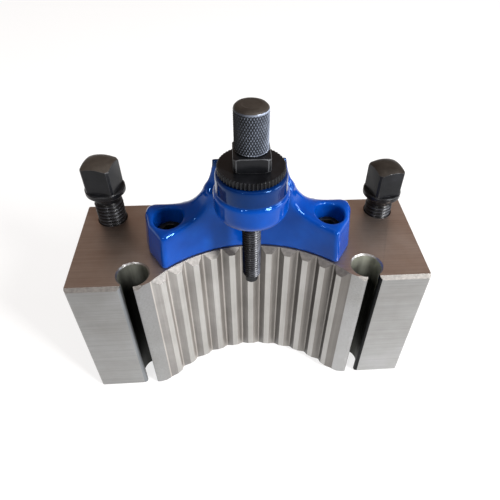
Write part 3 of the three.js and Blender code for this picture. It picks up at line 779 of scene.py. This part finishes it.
def height_bracket():
    """Casting with soft fillets, in mm from the block's front face and top face."""
    size = BRACKET
    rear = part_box("height_bracket")[1].y / MM - FRONT
    hub_y = STUD_Y - FRONT
    ear = size["ear_height"]
    step = FULL_STEP
    xs = np.arange(-HALF_GRID, HALF_GRID + 0.01, step)
    ys = np.arange(hub_y - size["hub_radius"] - GRID_MARGIN, rear + GRID_MARGIN, step)
    zs = np.arange(-1.2, size["hub_top"] + GRID_MARGIN, step)

    # From above: the tapering ends, cut away over the splined recess.
    x2, y2 = np.meshgrid(xs, ys, indexing="ij")
    centre = SPLINE["recess_depth"] - SPLINE["root_radius"]
    arc_radius = SPLINE["root_radius"] + size["setback"]
    corner_y = centre + math.sqrt(arc_radius ** 2 - size["corner"] ** 2)
    right = [(size["corner"] + 0.4, corner_y - 0.4), size["shoulder"]]
    right += inset(size["side"], rear, size["rear_corner"])
    around = polygon_distance(right + [(-x, y) for x, y in right[::-1]] + [(0, corner_y - 20)], x2, y2)
    recess = arc_radius - np.hypot(x2, y2 - centre)

    # From the front: arms at the back, and a web that reaches forward to the hub.
    x3, z3 = np.meshgrid(xs, zs, indexing="ij")
    arms = polygon_distance(arm_outline(ear, ear + size["arm_rise"], 1.0), x3, z3)
    web = polygon_distance(arm_outline(ear, size["web_top"], 2.0), x3, z3)

    # From the side: the back leans in above the ears.
    y3, z4 = np.meshgrid(ys, zs, indexing="ij")
    over = size["web_top"] + 1
    back = [(-BEYOND, BELOW), (rear + 5, BELOW), (rear + 5, ear - 1.0), (rear, ear - 1.0)]
    back += hollow(size["web_rear"], rear - size["web_rear"], ear, over - ear, 14) + [(-BEYOND, over)]
    side_view = polygon_distance(back, y3, z4)

    x, y, z = np.meshgrid(xs, ys, zs, indexing="ij")
    leaning = around[:, :, None] + size["side_lean"] * np.clip(z, 0, ear) * (np.abs(x) > size["corner"] - 6)
    plan = smooth_max(leaning, recess[:, :, None] + np.zeros(len(zs)), BLEND["recess"])
    front = smooth_max(web[:, None, :] + np.zeros((1, len(ys), 1)), size["web_front"] - y, BLEND["web_front"])
    view = smooth_min(arms[:, None, :] + np.zeros((1, len(ys), 1)), front, BLEND["web_to_arms"])
    body = smooth_max(plan, view, BLEND["outline"])
    body = smooth_max(body, side_view[None, :, :], BLEND["back"])

    # The hub, the bores and the seat on the block.
    r = np.hypot(x - STUD_X, y - hub_y)
    solid = smooth_min(body, polygon_distance(hub_outline(), r, z), BLEND["hub"])
    solid = smooth_max(solid, size["stud_hole"] - r, BLEND["stud_hole"])
    for side in (-1, 1):
        away = np.hypot(x - side * size["ear_x"], y - (rear - size["ear_back"]))
        bore = np.maximum(away - size["counterbore"], size["flange"] - z)
        solid = smooth_max(solid, -bore, BLEND["counterbore"])
        solid = np.maximum(solid, size["screw_hole"] - away)
    solid = smooth_max(solid, size["seat"] - z, BLEND["seat"])
    obj = surface_net("height_bracket_casting", solid, (xs[0], ys[0] + FRONT, zs[0] + TOP), step)
    relax = obj.modifiers.new("relax", "SMOOTH")
    relax.factor = 0.5
    relax.iterations = 2
    applied(obj)
    obj.data.shade_smooth()
    return finish_piece(obj, ["height_bracket"], "holder", "blue_enamel", ENAMEL)


# ---------------------------------------------------------------- screws
def clamp_screw(node, body):
    """A square head with a turned top on a round collar, a plain neck and a thread down to the tip."""
    low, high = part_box(node)
    x, y = (low.x + high.x) / 2 / MM, (low.y + high.y) / 2 / MM
    height, bar, half = CLAMP_HEAD["height"], CLAMP_HEAD["corners"] / 2, CLAMP_HEAD["square"] / 2 * MM
    neck, neck_radius = CLAMP_NECK["length"], CLAMP_NECK["radius"]
    head_z = high.z / MM - height
    head = turned(node + "_head", [(0, CLAMP_HEAD["foot"]), (bar, CLAMP_HEAD["foot"])]
                  + inset(bar, height, CLAMP_HEAD_TOP) + [(0, height + CLAMP_HEAD["crown"])], ROUND)
    over = (height + 2) * MM  # clear of the crown
    square = mesh_object(node + "_flats",
                         [(sx * half, sy * half, z) for z in (0.0, over) for sx, sy in SQUARE_CORNERS],
                         [(3, 2, 1, 0), (4, 5, 6, 7), (0, 1, 5, 4), (1, 2, 6, 5), (2, 3, 7, 6), (3, 0, 4, 7)])
    boolean(head, square, "INTERSECT")
    outer, top, chamfer = CLAMP_COLLAR["diameter"] / 2, CLAMP_COLLAR["height"], CLAMP_COLLAR["chamfer"]
    into_thread = -neck - CLAMP_NECK["overlap"]
    collar = turned(node + "_collar", [
        (0, into_thread), (neck_radius, into_thread), (neck_radius, 0), (outer - chamfer, 0),
        (outer, chamfer), *inset(outer, top, CLAMP_COLLAR_TOP), (0, top)], ROUND)
    boolean(head, collar, "UNION")
    head.data.materials.append(OXIDE)
    head.data.materials.append(EDGE_GLINT)
    soften(head, CLAMP_HEAD["edge"], angle=30.0, edge_slot=1)
    shade(head, degrees=40.0)
    moved(head, x, y, head_z, CLAMP_TURN[node])
    rod = threaded_rod(node + "_thread", CLAMP_THREAD, head_z - low.z / MM - neck)
    shade(rod, degrees=24.0)
    moved(rod, x, y, low.z / MM)
    slots = [2] * len(rod.data.polygons) + face_slots(head)
    piece = joined(node + "_black", [rod, head])
    finish_piece(piece, [node], body, "black_oxide", OXIDE, EDGE_GLINT, OXIDE_THREAD, OXIDE_TOP, slots=slots)
    # Faces that look up on the head take the lit copy of the black: painted light.
    painted_lit_tops(piece, head_z + top + 1.0)
    return piece


def bracket_screw(node):
    """A socket head cap screw in its counterbore."""
    obj = solid_copy(node, node + "_cap")
    soften(obj, CAP_EDGE, angle=35.0)
    shade(obj, degrees=35.0)
    return finish_piece(obj, [node], "holder", "black_oxide", OXIDE)


def adjusting_stud():
    """The height stud: a thread with a plain dog point."""
    low, high = stud_low.z / MM, stud_high.z / MM
    radius, length, chamfer = STUD_DOG["radius"], STUD_DOG["length"], STUD_DOG["chamfer"]
    into_thread = length + STUD_DOG["overlap"]
    profile = [(0, 0), (radius - chamfer, 0), (radius, chamfer), (radius, into_thread), (0, into_thread)]
    dog = turned("stud_dog", profile, THREAD_SEGMENTS)
    moved(dog, STUD_X, STUD_Y, low)
    shade(dog, degrees=35.0)
    rod = threaded_rod("stud_thread", STUD_THREAD, high - low - length)
    shade(rod, degrees=24.0)
    moved(rod, STUD_X, STUD_Y, low + length)
    slots = [1] * len(rod.data.polygons) + [0] * len(dog.data.polygons)
    piece = joined("adjusting_stud_black", [rod, dog])
    return finish_piece(piece, ["adjusting_stud"], "height_screw", "black_oxide", OXIDE, OXIDE_STUD,
                        slots=slots)


def knurled_knob():
    """The knob on the stud: a blind bore below, a diamond knurl round it, a slightly dished dome on top."""
    low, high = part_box("knurled_knob")
    height, radius = (high.z - low.z) / MM, (high.x - low.x) / 2 / MM
    bore, bore_depth, foot = KNOB["bore"], KNOB["bore_depth"], KNOB["foot"]
    profile = [(0, bore_depth), (bore, bore_depth), (bore, 0), (radius - KNOB["foot_chamfer"], 0),
               (radius, foot), *inset(radius, height, KNOB_DOME), (0, height - KNOB["dish"])]
    obj = turned("knurled_knob_black", profile, KNURL["around"] * STEPS_PER_CELL,
                 step=KNURL["height"] / STEPS_PER_CELL)
    obj = grown(obj, KNURLING, diamonds_around=float(KNURL["around"]), diamond_height=KNURL["height"] * MM,
                groove_depth=KNURL["depth"] * MM, lower_end=foot * MM,
                upper_end=(height - KNOB["plain_top"]) * MM, end_fade=KNURL["fade"] * MM, finish=OXIDE)
    moved(obj, STUD_X, STUD_Y, low.z / MM)
    shade(obj, degrees=50.0)
    finish_piece(obj, ["knurled_knob"], "height_screw", "black_oxide", OXIDE_KNURL, OXIDE_TOP)
    # Faces that look up near the knob's top take the lit copy of the black: painted light.
    painted_lit_tops(obj, high.z / MM - KNOB["rubbed"])
    return obj


def lock_nut():
    """The hexagon nut that locks the stud."""
    obj = solid_copy("lock_nut", "lock_nut_black")
    obj.data.materials.append(OXIDE)
    obj.data.materials.append(EDGE_GLINT)
    soften(obj, NUT_EDGE, angle=28.0, edge_slot=1)
    shade(obj, degrees=30.0)
    return finish_piece(obj, ["lock_nut"], "locking_nut", "black_oxide", OXIDE, EDGE_GLINT, slots=face_slots(obj))


def serrated_nut():
    """The round nut on the hub, with a serrated rim."""
    low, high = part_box("serrated_nut")
    radius, thick = (high.x - low.x) / 2 / MM, (high.z - low.z) / MM
    bore, chamfer, rim, mouth = (DISC[key] for key in ("bore", "chamfer", "rim", "bore_chamfer"))
    loop = [(bore, 0), (radius - rim, 0), (radius - chamfer, 0), (radius, chamfer), (radius, thick - chamfer),
            (radius - chamfer, thick), (radius - rim, thick), (bore + mouth, thick), (bore, thick - mouth)]
    obj = closed_turned("serrated_nut_black", loop, SERRATION["teeth"] * STEPS_PER_CELL)
    obj = grown(obj, SERRATIONS, teeth=float(SERRATION["teeth"]), tooth_depth=SERRATION["depth"] * MM,
                rim_radius=radius * MM, finish=OXIDE)
    moved(obj, STUD_X, STUD_Y, low.z / MM)
    shade(obj, degrees=30.0)
    return finish_piece(obj, ["serrated_nut"], "disc_nut", "black_oxide", OXIDE)


holder_body()
height_bracket()
for side in ("left", "middle", "right"):
    clamp_screw("clamp_screw_" + side, "clamp_" + side)
for side in ("left", "right"):
    bracket_screw("bracket_screw_" + side)
adjusting_stud()
knurled_knob()
lock_nut()
serrated_nut()


# ---------------------------------------------------------------- floor, light and camera
# Name, place in m, point it faces, size in m, watts, colour.
LIGHTS = [
    ("overhead", (0.1, -0.1, 1.25), (0, 0, 0), (0.9, 0.9), 2.0, "#ffffff"),
    ("right_window", (0.63, -0.54, 0.58), (0, 0, 0.06), (0.16, 0.4), 15.0, "#ffffff"),
    ("right_fill", (0.75, -0.15, 0.3), (0, 0, 0.05), (0.3, 0.3), 3.5, "#f4f8ff"),
    ("left_glint", (-0.3, -0.5, 0.66), (0, 0, 0.05), (0.1, 0.05), 1.2, "#ffffff"),
]
# Colour of the room from the horizon up to overhead, as the bare metal and the enamel reflect it.
ROOM = [(0.0, "#e8e6e4"), (0.10, "#a89c94"), (0.35, "#8a7468"), (0.8, "#96857a"), (1.0, "#a0958d")]
FLOOR_REACH = 4.0  # m each way
FLOOR_DROP = 0.1 * MM
# Angles in radians, place in m from the middle of the block's front face, lens in mm.
CAMERA = {"yaw": 0.10318, "pitch": 0.76606, "roll": 0.03612, "lens": 33.38, "sensor": 36.0,
          "shift": (-0.0386, -0.001), "place": (-0.00544, -0.10063, 0.17031), "near": 0.01}


def floor():
    """A wide pale matt floor that glows a little, so that its far end stays as pale as the near one."""
    material, _, shader, _ = new_material("pale_floor")
    for label, value in {"Base Color": linear("#8c8c8c"), "Roughness": 0.9, "Specular IOR Level": 0.0,
                         "Emission Color": linear("#ffffff"), "Emission Strength": 0.78}.items():
        shader.inputs[label].default_value = value
    corners = [(sx * FLOOR_REACH, sy * FLOOR_REACH, -FLOOR_DROP) for sx, sy in SQUARE_CORNERS]
    obj = mesh_object("floor", corners, [(0, 1, 2, 3)])
    obj.data.materials.append(material)


def softbox(name, place, aim, size, power, colour):
    """A rectangular light that faces a point."""
    light = bpy.data.lights.new(name, "AREA")
    light.shape = "RECTANGLE"
    light.size, light.size_y = size
    light.energy = power
    light.color = linear(colour)[:3]
    obj = bpy.data.objects.new(name, light)
    obj.location = place
    obj.rotation_euler = (Vector(aim) - Vector(place)).to_track_quat("-Z", "Y").to_euler()
    bpy.context.scene.collection.objects.link(obj)


def surroundings():
    """A plain room whose colour changes with height."""
    world = bpy.data.worlds.new("studio")
    bpy.context.scene.world = world
    world.use_nodes = True
    tree = world.node_tree
    background = next(n for n in tree.nodes if n.type == "BACKGROUND")
    direction = add(tree, "ShaderNodeSeparateXYZ", {0: add(tree, "ShaderNodeTexCoord").outputs["Generated"]})
    room = add(tree, RAMP, {0: direction.outputs[Z]}, ROOM)
    tree.links.new(room.outputs[0], background.inputs["Color"])
    background.inputs["Strength"].default_value = 1.0


def camera():
    """Looks down on the splined front from a little left of the middle."""
    yaw, pitch, roll = CAMERA["yaw"], CAMERA["pitch"], CAMERA["roll"]
    forward = Vector((math.sin(yaw) * math.cos(pitch), math.cos(yaw) * math.cos(pitch), -math.sin(pitch)))
    level = Vector((math.cos(yaw), -math.sin(yaw), 0))
    upright = level.cross(forward)
    right = math.cos(roll) * level + math.sin(roll) * upright
    up = -math.sin(roll) * level + math.cos(roll) * upright
    data = bpy.data.cameras.new("camera")
    data.sensor_width = CAMERA["sensor"]
    data.lens = CAMERA["lens"]
    data.shift_x, data.shift_y = CAMERA["shift"]
    data.clip_start = CAMERA["near"]
    obj = bpy.data.objects.new("camera", data)
    turn = Matrix((right, up, -forward)).transposed().to_4x4()
    obj.matrix_world = Matrix.Translation(Vector(CAMERA["place"]) + Vector((0, FRONT * MM, 0))) @ turn
    bpy.context.scene.collection.objects.link(obj)
    bpy.context.scene.camera = obj


floor()
surroundings()
for light in LIGHTS:
    softbox(*light)
camera()
bpy.context.scene.view_settings.view_transform = "Standard"
